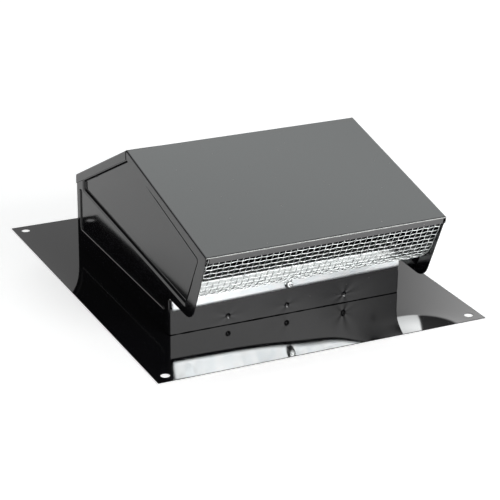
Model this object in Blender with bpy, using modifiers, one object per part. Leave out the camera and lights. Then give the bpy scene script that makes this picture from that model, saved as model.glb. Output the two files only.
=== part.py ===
"""Roof rain cap for a kitchen or bath duct: a folded steel hood on a flat flashing.

Units are metres and +Z is up. The origin is the middle of the flashing's underside.
The open, screened side faces -Y, and the tall closed side faces +Y.
"""
import math

import bmesh
import bpy
from mathutils import Matrix, Vector

MM = 0.001

# Sheet, clearances and bends
SHEET = 0.7 * MM                 # painted steel, folded everywhere
GALVANISED_SHEET = 0.7 * MM      # bare zinc-coated steel
GAP = 0.3 * MM                   # between pieces that touch
BEND = 1.5 * MM                  # outside radius of a fold

# Flashing
FLASHING_WIDTH = 362 * MM
FLASHING_DEPTH = 428 * MM
FRONT_MARGIN = 92 * MM           # from the flashing's front edge to the front wall
NAIL_HOLE_INSET = 12.5 * MM
NAIL_HOLE_RADIUS = 4.75 * MM
COLLAR_HEIGHT = 18 * MM
COLLAR_END_RELIEF = 16 * MM      # how far the side tabs stop short of the corners

# Body box
BODY_WIDTH = 261 * MM            # over the front wall's folded ends
BODY_DEPTH = 258 * MM            # front wall to rear wall, outside
FRONT_WALL_HEIGHT = 39.4 * MM
FRONT_WALL_RETURN = 10 * MM      # its ends fold back along the side walls

# Hood, heights above the flashing and places behind the front wall
REAR_HEIGHT = 84 * MM
REAR_WALL_RETURN = 9 * MM        # its ends fold forward inside the side walls
RIDGE_HEIGHT = 160.5 * MM
RIDGE_BACK = 109 * MM
FRONT_HEIGHT = 117.5 * MM
FRONT_OVERHANG = 89 * MM
FLANGE = 9.3 * MM                # side flange of the hood, over the walls
LIP = 7.2 * MM                   # turned-down front lip
SLIT = 2.0 * MM                  # cut between two flanges

# Wing: the side wall in front of the front wall
WING_FOOT_BACK = -53.5 * MM        # where the front edge would meet the foot
WING_FOOT_HEIGHT = 38 * MM
WING_ROOT_HEIGHT = 39.8 * MM
WING_CORNER_RADIUS = 22 * MM

# Pressed wedge in each side wall
WEDGE_DEPTH = 2.8 * MM
WEDGE_SLOPE = 5.1 * MM           # width of its border, gentle outside and steep inside
WEDGE_PROFILE = ((0, 0), (0.16, 0.035), (0.58, 0.22), (0.69, 0.36), (0.8, 0.7), (0.89, 0.92), (1, 1))
WEDGE_TOP_INSET = 7.0 * MM       # below the hood's top sheet
WEDGE_TOP_INSET_FRONT = 12 * MM
WEDGE_REAR_MARGIN = 17.5 * MM    # from the rear wall's face
WEDGE_FOOT_HEIGHT = 49.9 * MM    # of its lower edge, at the front wall
WEDGE_FOOT_RISE = 0.085          # of that edge, towards the rear
WEDGE_FRONT_TOP_BACK = -71 * MM
WEDGE_FRONT_FOOT_BACK = -38 * MM
WEDGE_CORNER = 4 * MM

# L-shaped stiffening bead in each side wall
BEAD_WIDTH = 5.4 * MM
BEAD_HEIGHT = 1.5 * MM
BEAD_BACK = 247 * MM
BEAD_FRONT = 17 * MM
BEAD_LOW = 23 * MM
BEAD_TOP = 68 * MM
BEAD_CORNER = 5 * MM

# Clinched dimples that hold the front wall to the collar
DIMPLE_RADIUS = 3.0 * MM
DIMPLE_DEPTH = 1.0 * MM
DIMPLE_HEIGHT = 9.8 * MM
DIMPLE_SPACING = 66 * MM

# Damper sill and screen strip, both on the front wall's top edge
SILL_HEIGHT = 53 * MM
SILL_FRONT_DROP = 22.5 * MM
SILL_SHOULDER = 45.5 * MM        # above this its ends step in, clear of the wedges
SILL_END_CLEARANCE = 1.2 * MM
SILL_BACK = 24.7 * MM
SILL_STOP_HEIGHT = 6 * MM
STRIP_HEIGHT = 12.1 * MM
STRIP_TOP = 41.6 * MM
STRIP_SHEET = 0.8 * MM
SIDE_CLEARANCE = 0.4 * MM        # between what fits in the mouth and the wings

# Bird screen, a lattice of flat bars
SCREEN_SHEET = 1.0 * MM
SCREEN_BAR = 2.2 * MM
SCREEN_COLUMNS = 15
SCREEN_ROWS = 8
SCREEN_TOP = (-85.6 * MM, 115.9 * MM)
SCREEN_KNEE = (-58.5 * MM, 63.6 * MM)
SCREEN_KNEE_RADIUS = 45 * MM
SCREEN_FOLD_RADIUS = 1.5 * MM
SCREEN_TAIL = 10.1 * MM          # clamped behind the strip
SCREEN_STEP_START = 12 * MM      # its sides step in between these distances
SCREEN_STEP_END = 2 * MM         # from the front of the pressed wedges

# Screw
SCREW_SHANK = 2.1 * MM
SCREW_WASHER = 4.6 * MM
SCREW_WASHER_THICKNESS = 0.9 * MM
SCREW_HEX = 3.2 * MM             # half the width across flats
SCREW_HEAD = 2.8 * MM
SCREW_LENGTH = 9 * MM
SCREW_HEIGHT = 34.4 * MM
SCREW_CLEARANCE = 0.35 * MM

# Damper
ROD_RADIUS = 2 * MM
ROD_BACK = 48 * MM
ROD_BELOW_HOOD = 9.5 * MM        # its middle, square to the hood's top face
ROD_END_CLEARANCE = 0.8 * MM     # to the pressed wedge
CURL_CLEARANCE = 0.3 * MM
FLAP_HEM = 7 * MM
FLAP_SIDE_CLEARANCE = 0.4 * MM
LUG_SHEET = 1.0 * MM
LUG_HALF_WIDTH = 6 * MM
LUG_FLANGE = 14 * MM
CLIP_SHEET = 0.8 * MM
CLIP_RADIUS = 4.5 * MM
SEAL_THICKNESS = 1.7 * MM
SEAL_HEIGHT = 4.6 * MM
SEAL_END = 6 * MM                # the seal stops this far from the sill's ends

# Places worked out from the sizes above
FLOOR = SHEET
FRONT_Y = -FLASHING_DEPTH / 2 + FRONT_MARGIN
REAR_Y = FRONT_Y + BODY_DEPTH
WALL_X = BODY_WIDTH / 2 - SHEET - GAP
WALL_INNER_X = WALL_X - SHEET
MOUTH_HALF = WALL_INNER_X - SIDE_CLEARANCE


def at(back, height):
    """Turns a place behind the front wall and above the flashing into Y and Z."""
    return Vector((FRONT_Y + back, FLOOR + height))


HOOD_REAR = at(BODY_DEPTH + GAP + SHEET, REAR_HEIGHT)
HOOD_RIDGE = at(RIDGE_BACK, RIDGE_HEIGHT)
HOOD_FRONT = at(-FRONT_OVERHANG, FRONT_HEIGHT)
ROD_HALF = WALL_INNER_X - WEDGE_DEPTH - ROD_END_CLEARANCE
LUG_INNER_X = ROD_HALF - 3 * GAP - CLIP_SHEET - LUG_SHEET


# Outline helpers, all in a flat (u, v) plane

def unit(vector):
    return vector / vector.length


def perpendicular(vector):
    """Turns a flat vector a quarter turn anticlockwise."""
    return Vector((-vector.y, vector.x))


def crossing(point_a, along_a, point_b, along_b):
    """Finds where two flat lines meet."""
    step = point_b - point_a
    scale = along_a.x * along_b.y - along_a.y * along_b.x
    return point_a + along_a * ((step.x * along_b.y - step.y * along_b.x) / scale)


def hood_line(point_a, point_b, below):
    """A line under the hood's top sheet, as a point and a direction towards +Y."""
    along = unit(point_b - point_a)
    return point_a - perpendicular(along) * below, along


def under_hood(y, below):
    """Height of the hood's front slope at y, less a distance square to it."""
    point, along = hood_line(HOOD_FRONT, HOOD_RIDGE, below)
    return crossing(point, along, Vector((y, 0)), Vector((0, 1))).y


ROD_Y = FRONT_Y + ROD_BACK
ROD_CENTRE = Vector((ROD_Y, under_hood(ROD_Y, ROD_BELOW_HOOD)))


def inset(corners, distance):
    """Moves every side of an anticlockwise outline inwards."""
    count = len(corners)
    moved = []
    for index in range(count):
        here = corners[index]
        before = unit(here - corners[index - 1])
        after = unit(corners[(index + 1) % count] - here)
        start = here + perpendicular(before) * distance
        end = here + perpendicular(after) * distance
        moved.append(crossing(start, before, end, after))
    return moved


def rounded(corners, radii, steps=5, closed=True):
    """Replaces each corner by an arc that touches both of its sides."""
    points = []
    count = len(corners)
    for index, corner in enumerate(corners):
        is_end = not closed and index in (0, count - 1)
        radius = radii[index]
        if is_end or radius <= 0:
            points.append(corner.copy())
            continue
        before = unit(corners[index - 1] - corner)
        after = unit(corners[(index + 1) % count] - corner)
        half = before.angle(after) / 2
        side_before = (corners[index - 1] - corner).length
        side_after = (corners[(index + 1) % count] - corner).length
        reach = min(radius / math.tan(half), 0.45 * min(side_before, side_after))
        centre = corner + unit(before + after) * (reach / math.cos(half))
        start = corner + before * reach - centre
        end = corner + after * reach - centre
        turn = start.angle_signed(end)
        for step in range(steps + 1):
            angle = -turn * step / steps
            points.append(centre + Matrix.Rotation(angle, 2) @ start)
    return points


def stadium(path, half_width, cap_steps=6):
    """Outlines a round-ended band along an open path, anticlockwise."""
    left, right = [], []
    for index, point in enumerate(path):
        ahead = path[min(index + 1, len(path) - 1)]
        behind = path[max(index - 1, 0)]
        across = perpendicular(unit(ahead - behind)) * half_width
        left.append(point + across)
        right.append(point - across)
    end_cap = cap(path[-1], right[-1] - path[-1], cap_steps)
    start_cap = cap(path[0], left[0] - path[0], cap_steps)
    return right + end_cap + left[::-1] + start_cap


def cap(centre, start, steps):
    return [centre + Matrix.Rotation(math.pi * step / steps, 2) @ start for step in range(1, steps)]


def ring(centre, radius, steps=16):
    angles = [2 * math.pi * step / steps for step in range(steps)]
    return [centre + Vector((math.cos(a), math.sin(a))) * radius for a in angles]


# Mesh helpers

def add_loop(bm, outline, height):
    verts = [bm.verts.new((point.x, point.y, height)) for point in outline]
    edges = [bm.edges.new((verts[i - 1], verts[i])) for i in range(len(verts))]
    return verts, edges


def pressed_sheet(outline, pressings):
    """Makes a flat open sheet with pressed features in it.

    A pressing is a list of (loop, height), from the sheet to the feature's far end.
    All its loops have equally many points. The last one is filled unless it is a hole.
    """
    bm = bmesh.new()
    _, sheet_edges = add_loop(bm, outline, 0)
    for loops, is_open in pressings:
        rims = [add_loop(bm, loop, height) for loop, height in loops]
        sheet_edges += rims[0][1]
        for (outer, _), (inner, _) in zip(rims, rims[1:]):
            for i in range(len(outer)):
                bm.faces.new((outer[i - 1], outer[i], inner[i], inner[i - 1]))
        if not is_open:
            bmesh.ops.triangle_fill(bm, use_beauty=True, edges=rims[-1][1], normal=(0, 0, 1))
    bmesh.ops.triangle_fill(bm, use_beauty=True, edges=sheet_edges, normal=(0, 0, 1))
    for face in bm.faces:
        if face.normal.z < 0:
            face.normal_flip()
    return bm


def placed(name, bm, matrix):
    """Turns a mesh into an object, mirrored bodies kept facing outwards."""
    if matrix.determinant() < 0:
        bmesh.ops.reverse_faces(bm, faces=bm.faces)
    bmesh.ops.transform(bm, matrix=matrix, verts=bm.verts)
    mesh = bpy.data.meshes.new(name)
    bm.to_mesh(mesh)
    bm.free()
    return bpy.data.objects.new(name, mesh)


def solid(name, bm, material, matrix=Matrix()):
    """Makes a named piece of the cap."""
    obj = placed(name, bm, matrix)
    obj.data.materials.append(material)
    PARTS.objects.link(obj)
    return obj


def cutter(name, bm, matrix=Matrix()):
    """Makes a hidden body that a Boolean modifier uses."""
    obj = placed(name, bm, matrix)
    obj.hide_render = True
    obj.display_type = 'WIRE'
    CUTTERS.objects.link(obj)
    return obj


def thicken(obj, thickness, bend=0.0):
    """Rounds the marked folds, then gives the sheet its thickness behind its face."""
    if bend > 0:
        fold = obj.modifiers.new("Fold", 'BEVEL')
        fold.width = bend
        fold.segments = 3
        fold.limit_method = 'WEIGHT'
    wall = obj.modifiers.new("Wall", 'SOLIDIFY')
    wall.thickness = thickness
    wall.offset = -1
    wall.use_even_offset = True
    wall.use_quality_normals = True


def mark_folds(bm, least_degrees):
    """Marks the edges where the sheet turns sharply, for the bend's radius."""
    weight = bm.edges.layers.float.new("bevel_weight_edge")
    for edge in bm.edges:
        if len(edge.link_faces) == 2 and edge.calc_face_angle() > math.radians(least_degrees):
            edge[weight] = 1.0


def extruded(profile, start, end):
    """Sweeps an open (y, z) profile along X into a sheet."""
    bm = bmesh.new()
    near = [bm.verts.new((start, p.x, p.y)) for p in profile]
    far = [bm.verts.new((end, p.x, p.y)) for p in profile]
    for i in range(1, len(profile)):
        bm.faces.new((near[i - 1], near[i], far[i], far[i - 1]))
    return bm


def slab(outline, thickness):
    """Makes a closed flat body from an outline, rising from height 0."""
    bm = pressed_sheet(outline, [])
    copied = bmesh.ops.extrude_face_region(bm, geom=bm.faces[:])["geom"]
    top = [v for v in copied if isinstance(v, bmesh.types.BMVert)]
    bmesh.ops.translate(bm, verts=top, vec=(0, 0, thickness))
    bmesh.ops.recalc_face_normals(bm, faces=bm.faces)
    return bm


def side_place(side, x):
    """Stands a flat (y, z) drawing at x on one side, with its face outwards."""
    return Matrix(((0, 0, side, side * x), (1, 0, 0, 0), (0, 1, 0, 0), (0, 0, 0, 1)))


def block(name, corner, opposite, material=None):
    """Makes a box between two corners, as a part or as a cutter."""
    bm = bmesh.new()
    size = Vector(abs(a - b) for a, b in zip(corner, opposite))
    centre = (Vector(corner) + Vector(opposite)) / 2
    bmesh.ops.create_cube(bm, size=1, matrix=Matrix.Translation(centre) @ Matrix.Diagonal(size).to_4x4())
    return solid(name, bm, material) if material else cutter(name, bm)


def combine(obj, tool, operation='DIFFERENCE'):
    join = obj.modifiers.new(tool.name, 'BOOLEAN')
    join.operation = operation
    join.solver = 'EXACT'
    join.object = tool


def round_bar(bm, radius, start, end, segments=24):
    """Adds a closed cylinder between two places."""
    along = Vector(end) - Vector(start)
    turn = along.to_track_quat('Z', 'Y').to_matrix().to_4x4()
    place = Matrix.Translation((Vector(start) + Vector(end)) / 2) @ turn
    bmesh.ops.create_cone(bm, cap_ends=True, segments=segments, radius1=radius, radius2=radius,
                          depth=along.length, matrix=place)
    return bm


def drill(obj, name, radius, start, end, segments=24):
    combine(obj, cutter(name, round_bar(bmesh.new(), radius, start, end, segments)))


def smooth(obj, degrees=30):
    obj.data.shade_smooth()
    obj.data.set_sharp_from_angle(angle=math.radians(degrees))


def finish(name, colour, roughness, metallic=0.0):
    material = bpy.data.materials.new(name)
    material.use_nodes = True
    shader = material.node_tree.nodes["Principled BSDF"]
    shader.inputs["Base Color"].default_value = (*colour, 1)
    shader.inputs["Roughness"].default_value = roughness
    shader.inputs["Metallic"].default_value = metallic
    return material


def black_paint(name):
    return finish(name, (0.03, 0.03, 0.032), 0.18)


def zinc(name):
    return finish(name, (0.78, 0.8, 0.8), 0.35, 1.0)


# Sub-parts

def make_flashing():
    """The flat plate, with its opening's edges turned up inside the body as a collar."""
    half_w = FLASHING_WIDTH / 2
    half_d = FLASHING_DEPTH / 2
    plate = [Vector(p) for p in ((-half_w, -half_d), (half_w, -half_d), (half_w, half_d), (-half_w, half_d))]
    x_in = WALL_INNER_X - GAP
    y_front = FRONT_Y + SHEET + GAP
    y_rear = REAR_Y - SHEET - GAP
    tab_front = FRONT_Y + COLLAR_END_RELIEF
    tab_rear = REAR_Y - COLLAR_END_RELIEF
    tab_x = x_in - COLLAR_END_RELIEF
    notch = 2 * SHEET
    right_side = [(tab_x, y_front), (tab_x, y_front + notch), (x_in - notch, y_front + notch),
                  (x_in - notch, tab_front), (x_in, tab_front), (x_in, tab_rear), (x_in - notch, tab_rear),
                  (x_in - notch, y_rear - notch), (tab_x, y_rear - notch), (tab_x, y_rear)]
    left_side = [(-x, y) for x, y in reversed(right_side)]
    opening = [Vector(p) for p in right_side + left_side]
    bm = pressed_sheet(plate, [([(opening, 0)], True)])
    sides = [edge for edge in bm.edges if edge.is_boundary and is_tab_root(edge, x_in, y_front, y_rear)]
    raised = bmesh.ops.extrude_edge_only(bm, edges=sides)["geom"]
    top = [v for v in raised if isinstance(v, bmesh.types.BMVert)]
    bmesh.ops.translate(bm, verts=top, vec=(0, 0, COLLAR_HEIGHT))
    bmesh.ops.recalc_face_normals(bm, faces=bm.faces)
    if max(bm.faces, key=lambda f: f.calc_area()).normal.z < 0:
        bmesh.ops.reverse_faces(bm, faces=bm.faces)
    obj = solid("base_flashing", bm, black_paint("flashing_black"), Matrix.Translation((0, 0, FLOOR)))
    thicken(obj, SHEET)
    for side in (-1, 1):
        for end in (-1, 1):
            x = side * (half_w - NAIL_HOLE_INSET)
            y = end * (half_d - NAIL_HOLE_INSET)
            drill(obj, f"nail_hole_{side}_{end}", NAIL_HOLE_RADIUS, (x, y, -BEND), (x, y, FLOOR + BEND))
    for index in (-1, 0, 1):
        x = index * DIMPLE_SPACING
        z = FLOOR + DIMPLE_HEIGHT
        drill(obj, f"clinch_hole_{index}", DIMPLE_RADIUS, (x, y_front - BEND, z), (x, y_front + BEND, z))
    return obj


def is_tab_root(edge, x_in, y_front, y_rear):
    """Says whether an edge of the opening is where a collar tab is folded up."""
    a, b = (vert.co for vert in edge.verts)
    on_side = all(abs(abs(p.x) - x_in) < GAP / 3 for p in (a, b))
    on_end = any(all(abs(p.y - y) < GAP / 3 for p in (a, b)) for y in (y_front, y_rear))
    return on_side or on_end


def wall_outline():
    """Outline of a side wall in (y, z), anticlockwise seen from +X."""
    rear_point, rear_along = hood_line(HOOD_RIDGE, HOOD_REAR, BEND)
    front_point, front_along = hood_line(HOOD_FRONT, HOOD_RIDGE, BEND)
    lip_along = perpendicular(front_along)
    lip_point = HOOD_FRONT + front_along * BEND
    wing_lip = lip_point - lip_along * LIP
    wing_foot = at(WING_FOOT_BACK, WING_FOOT_HEIGHT)
    wing_top = crossing(front_point, front_along, lip_point, lip_along)
    wall_front = FRONT_Y + BEND + GAP
    apex = crossing(rear_point, rear_along, front_point, front_along)
    rear_top = crossing(rear_point, rear_along, Vector((REAR_Y, 0)), Vector((0, 1)))
    wing_root = Vector((wall_front, FLOOR + WING_ROOT_HEIGHT))
    foot_front = Vector((wall_front, FLOOR + GAP))
    foot_rear = Vector((REAR_Y, FLOOR + GAP))
    corners = [foot_front, foot_rear, rear_top, apex, wing_top, wing_lip, wing_foot, wing_root]
    radii = [0, 0, 0, 0, 0, 0, WING_CORNER_RADIUS, 0]
    return rounded(corners, radii, steps=8)


def wedge_corners():
    """Outer edge of the pressed wedge, anticlockwise from its lower front corner."""
    foot_along = unit(Vector((1, WEDGE_FOOT_RISE)))
    foot_point = at(0, WEDGE_FOOT_HEIGHT)
    rear_point, rear_along = hood_line(HOOD_RIDGE, HOOD_REAR, WEDGE_TOP_INSET)
    peak_point, peak_along = hood_line(HOOD_FRONT, HOOD_RIDGE, WEDGE_TOP_INSET)
    low_point, _ = hood_line(HOOD_FRONT, HOOD_RIDGE, WEDGE_TOP_INSET_FRONT)
    peak = crossing(rear_point, rear_along, peak_point, peak_along)
    upright = Vector((0, 1))
    rear_x = Vector((REAR_Y - WEDGE_REAR_MARGIN, 0))
    front_top = crossing(low_point, peak_along, at(WEDGE_FRONT_TOP_BACK, 0), upright)
    front_foot = crossing(foot_point, foot_along, at(WEDGE_FRONT_FOOT_BACK, 0), upright)
    rear_foot = crossing(foot_point, foot_along, rear_x, upright)
    rear_top = crossing(rear_point, rear_along, rear_x, upright)
    return [front_foot, rear_foot, rear_top, peak, front_top]


def wedge_pressing():
    corners = wedge_corners()
    loops = []
    for across, down in WEDGE_PROFILE:
        shrunk = inset(corners, WEDGE_SLOPE * across)
        radii = [WEDGE_CORNER * (1 - across / 2)] * len(corners)
        loops.append((rounded(shrunk, radii), -WEDGE_DEPTH * down))
    return loops, False


def bead_pressing():
    path = rounded([at(BEAD_BACK, BEAD_TOP), at(BEAD_BACK, BEAD_LOW), at(BEAD_FRONT, BEAD_LOW)],
                   [0, BEAD_CORNER, 0], steps=6, closed=False)
    loops = []
    for degrees in (0, 25, 50, 72):
        angle = math.radians(degrees)
        loops.append((stadium(path, BEAD_WIDTH / 2 * math.cos(angle)), BEAD_HEIGHT * math.sin(angle)))
    return [(loop[::-1], height) for loop, height in loops], False


def make_side_wall(name, side):
    """One side of the body: the wall, its wing, the pressed wedge and the bead."""
    bm = pressed_sheet(wall_outline(), [wedge_pressing(), bead_pressing()])
    obj = solid(name, bm, black_paint(name + "_black"), side_place(side, WALL_X))
    thicken(obj, SHEET)
    smooth(obj)
    return obj


def folded_panel(name, outline, pressings, fold_x, length, place):
    """A pressed sheet whose two upright ends fold back from its face."""
    bm = pressed_sheet(outline, pressings)
    for side in (-1, 1):
        ends = [edge for edge in bm.edges if edge.is_boundary
                and all(abs(vert.co.x - side * fold_x) < GAP / 3 for vert in edge.verts)]
        out = bmesh.ops.extrude_edge_only(bm, edges=ends)["geom"]
        verts = [v for v in out if isinstance(v, bmesh.types.BMVert)]
        bmesh.ops.translate(bm, verts=verts, vec=(0, 0, -length))
    bmesh.ops.recalc_face_normals(bm, faces=bm.faces)
    if max(bm.faces, key=lambda f: f.calc_area()).normal.z < 0:
        bmesh.ops.reverse_faces(bm, faces=bm.faces)
    mark_folds(bm, 80)
    obj = solid(name, bm, black_paint(name + "_black"), place)
    thicken(obj, SHEET, BEND)
    smooth(obj)
    return obj


def make_front_wall():
    """The low front wall. Its ends fold back outside the side walls."""
    half = BODY_WIDTH / 2
    low = FLOOR + GAP
    shoulder = FLOOR + WING_ROOT_HEIGHT - BEND
    top = FLOOR + FRONT_WALL_HEIGHT
    neck = MOUTH_HALF
    outline = [Vector(p) for p in ((-half, low), (half, low), (half, shoulder), (neck, shoulder),
                                   (neck, top), (-neck, top), (-neck, shoulder), (-half, shoulder))]
    dimples = []
    for index in (-1, 0, 1):
        centre = Vector((index * DIMPLE_SPACING, FLOOR + DIMPLE_HEIGHT))
        loops = []
        for share in (0, 0.25, 0.5, 0.75):
            depth = DIMPLE_DEPTH * math.sin(share * math.pi / 2)
            loops.append((ring(centre, DIMPLE_RADIUS * (1 - share)), -depth))
        dimples.append((loops, False))
    place = Matrix(((1, 0, 0, 0), (0, 0, -1, FRONT_Y), (0, 1, 0, 0), (0, 0, 0, 1)))
    obj = folded_panel("front_wall", outline, dimples, half, FRONT_WALL_RETURN, place)
    drill_for_screw(obj, "screw_hole_wall", FRONT_Y)
    return obj


def drill_for_screw(obj, name, y):
    """Cuts the screw's clearance hole through the sheet at y."""
    z = FLOOR + SCREW_HEIGHT
    drill(obj, name, SCREW_SHANK + SCREW_CLEARANCE, (0, y - BEND, z), (0, y + BEND, z))


def make_rear_wall():
    """The tall rear wall. Its ends fold forward inside the side walls."""
    half = WALL_INNER_X - GAP
    low = FLOOR + GAP
    rear_point, rear_along = hood_line(HOOD_RIDGE, HOOD_REAR, BEND)
    top_back = crossing(rear_point, rear_along, Vector((REAR_Y, 0)), Vector((0, 1)))
    top = top_back.y
    outline = [Vector(p) for p in ((-half, low), (half, low), (half, top), (-half, top))]
    place = Matrix(((-1, 0, 0, 0), (0, 0, 1, REAR_Y), (0, 1, 0, 0), (0, 0, 0, 1)))
    return folded_panel("rear_wall", outline, [], half, REAR_WALL_RETURN, place)


def make_hood():
    """One folded sheet: two slopes, a rear band, side flanges and the front lip."""
    half = BODY_WIDTH / 2
    rear_point, rear_along = hood_line(HOOD_RIDGE, HOOD_REAR, FLANGE)
    front_point, front_along = hood_line(HOOD_FRONT, HOOD_RIDGE, FLANGE)
    lip_end = HOOD_FRONT - perpendicular(front_along) * LIP
    low = [crossing(rear_point, rear_along, HOOD_REAR, Vector((0, 1))),
           crossing(rear_point, rear_along, front_point, front_along), lip_end]
    high = [HOOD_REAR, HOOD_RIDGE, HOOD_FRONT]
    bm = bmesh.new()
    verts = {}
    for side in (-1, 1):
        for row, points in (("high", high), ("low", low)):
            for index, point in enumerate(points):
                verts[side, row, index] = bm.verts.new((side * half, point.x, point.y))
    for index in (0, 1):
        top = [verts[-1, "high", index], verts[-1, "high", index + 1],
               verts[1, "high", index + 1], verts[1, "high", index]]
        bm.faces.new(top)
        for side in (-1, 1):
            band = [verts[side, "high", index], verts[side, "low", index],
                    verts[side, "low", index + 1], verts[side, "high", index + 1]]
            bm.faces.new(band)
    for index in (0, 2):
        bm.faces.new([verts[-1, "high", index], verts[1, "high", index],
                      verts[1, "low", index], verts[-1, "low", index]])
    bmesh.ops.recalc_face_normals(bm, faces=bm.faces)
    if max(bm.faces, key=lambda f: f.calc_area()).normal.z < 0:
        bmesh.ops.reverse_faces(bm, faces=bm.faces)
    mark_folds(bm, 20)
    obj = solid("hood_top", bm, black_paint("hood_black"))
    thicken(obj, SHEET, BEND)
    cut_hood_slits(obj, low, half)
    smooth(obj)
    return obj


def cut_hood_slits(hood, low, half):
    """Slits between neighbouring flanges, at the ridge and at the four corners."""
    deep = 2 * BEND
    under_bend = BEND + GAP
    for side in (-1, 1):
        # The ridge's slit runs across the side flange, the others up beside it
        ridge = block(f"ridge_slit_{side}",
                      (side * (half - deep), HOOD_RIDGE.x - SLIT / 2, low[1].y - deep),
                      (side * (half + deep), HOOD_RIDGE.x + SLIT / 2, HOOD_RIDGE.y - under_bend))
        combine(hood, ridge)
        for name, corner, foot in (("rear_slit", HOOD_REAR, low[0]), ("front_slit", HOOD_FRONT, low[2])):
            slit = block(f"{name}_{side}",
                         (side * (half - BEND - SLIT), corner.x - deep, foot.y - deep),
                         (side * (half - BEND), corner.x + deep, corner.y - under_bend))
            combine(hood, slit)


def make_sill():
    """Zinc-coated channel on the front wall: a drop, a shelf and the flap's stop."""
    front = -GAP - GALVANISED_SHEET
    back = SILL_BACK - GALVANISED_SHEET
    corners = [at(front, SILL_HEIGHT - SILL_FRONT_DROP), at(front, SILL_HEIGHT), at(back, SILL_HEIGHT),
               at(back, SILL_HEIGHT + SILL_STOP_HEIGHT)]
    profile = rounded(corners, [0, BEND, BEND - GALVANISED_SHEET, 0], steps=3, closed=False)
    obj = solid("damper_sill", extruded(profile, MOUTH_HALF, -MOUTH_HALF), zinc("sill_zinc"))
    thicken(obj, GALVANISED_SHEET)
    neck = WALL_INNER_X - WEDGE_DEPTH - SILL_END_CLEARANCE
    top = FLOOR + SILL_HEIGHT + 2 * SILL_STOP_HEIGHT
    for side in (-1, 1):
        end = block(f"sill_end_{side}", (side * neck, FRONT_Y - BEND - GAP, FLOOR + SILL_SHOULDER),
                    (side * WALL_X, FRONT_Y + SILL_BACK + BEND, top))
        combine(obj, end)
    drill_for_screw(obj, "screw_hole_sill", FRONT_Y + front)
    smooth(obj)
    return obj


def screen_path():
    """Middle of the bird screen in (y, z), from behind the lip to behind the strip."""
    top = at(*SCREEN_TOP)
    knee = at(*SCREEN_KNEE)
    fold_back = -GAP - GALVANISED_SHEET - GAP - SCREEN_SHEET / 2
    fold = at(fold_back, STRIP_TOP + GAP + SCREEN_SHEET)
    tail = at(fold_back, STRIP_TOP - SCREEN_TAIL)
    radii = [0, SCREEN_KNEE_RADIUS, SCREEN_FOLD_RADIUS, 0]
    return rounded([top, knee, fold, tail], radii, closed=False)


def points_along(path, distances):
    """Places on a polyline at the given lengths from its start."""
    found = []
    for distance in distances:
        left = distance
        for start, end in zip(path, path[1:]):
            length = (end - start).length
            if left <= length or end is path[-1]:
                found.append(start + (end - start) * (left / length))
                break
            left -= length
    return found


def screen_half(place):
    """Half the screen's width, which steps in where the wedges stand into the mouth."""
    foot, *_, top = wedge_corners()
    edge = crossing(foot, top - foot, place, Vector((1, 0)))
    ahead = edge.x - place.x
    share = (SCREEN_STEP_START - ahead) / (SCREEN_STEP_START - SCREEN_STEP_END)
    return MOUTH_HALF - WEDGE_DEPTH * min(1, max(0, share))


def screen_rows(path):
    """Lengths along the screen where its faces are cut, and its open rows as spans."""
    lengths = [0.0]
    for start, end in zip(path, path[1:]):
        lengths.append(lengths[-1] + (end - start).length)
    open_length = lengths[-1] - LIP - SCREEN_TAIL - 2 * SCREEN_FOLD_RADIUS
    middles = [LIP + row * open_length / SCREEN_ROWS for row in range(SCREEN_ROWS + 1)]
    bars = [(middle - SCREEN_BAR / 2, middle + SCREEN_BAR / 2) for middle in middles]
    edges = [edge for bar in bars for edge in bar]
    bends = [length for length in lengths[1:] if min(abs(length - edge) for edge in edges) > GAP]
    open_rows = [(upper[1], lower[0]) for upper, lower in zip(bars, bars[1:])]
    return sorted([0.0] + edges + bends), open_rows


def make_bird_screen():
    """Curved lattice across the mouth. Its real wires are finer than its bars."""
    path = screen_path()
    levels, open_rows = screen_rows(path)
    pitch = (2 * MOUTH_HALF - SCREEN_BAR) / SCREEN_COLUMNS
    lefts = [-MOUTH_HALF + column * pitch for column in range(SCREEN_COLUMNS + 1)]
    columns = [x for left in lefts for x in (left, left + SCREEN_BAR)]
    last = len(columns) - 1
    bm = bmesh.new()
    grid = []
    for place in points_along(path, levels):
        step = MOUTH_HALF - screen_half(place)
        shift = {0: step, 1: step, last - 1: -step, last: -step}
        grid.append([bm.verts.new((x + shift.get(i, 0), *place)) for i, x in enumerate(columns)])
    for r in range(1, len(levels)):
        middle = (levels[r - 1] + levels[r]) / 2
        is_open_row = any(low < middle < high for low, high in open_rows)
        for c in range(1, len(columns)):
            is_cell = is_open_row and c % 2 == 0
            if not is_cell:
                bm.faces.new((grid[r - 1][c - 1], grid[r][c - 1], grid[r][c], grid[r - 1][c]))
    obj = solid("bird_screen", bm, zinc("screen_zinc"))
    thicken(obj, SCREEN_SHEET)
    obj.modifiers["Wall"].offset = 0
    drill_for_screw(obj, "screw_hole_screen", path[-1].x)
    return obj


def strip_front():
    """Distance of the strip's face in front of the front wall."""
    return GAP + GALVANISED_SHEET + GAP + SCREEN_SHEET + GAP + STRIP_SHEET


def make_screen_strip():
    """Flat zinc-coated strip that clamps the screen's tail to the front wall."""
    face = FRONT_Y - strip_front()
    z_top = FLOOR + STRIP_TOP
    obj = block("screen_strip", (-MOUTH_HALF, face, z_top - STRIP_HEIGHT),
                (MOUTH_HALF, face + STRIP_SHEET, z_top), zinc("strip_zinc"))
    drill_for_screw(obj, "screw_hole_strip", face)
    return obj


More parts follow.
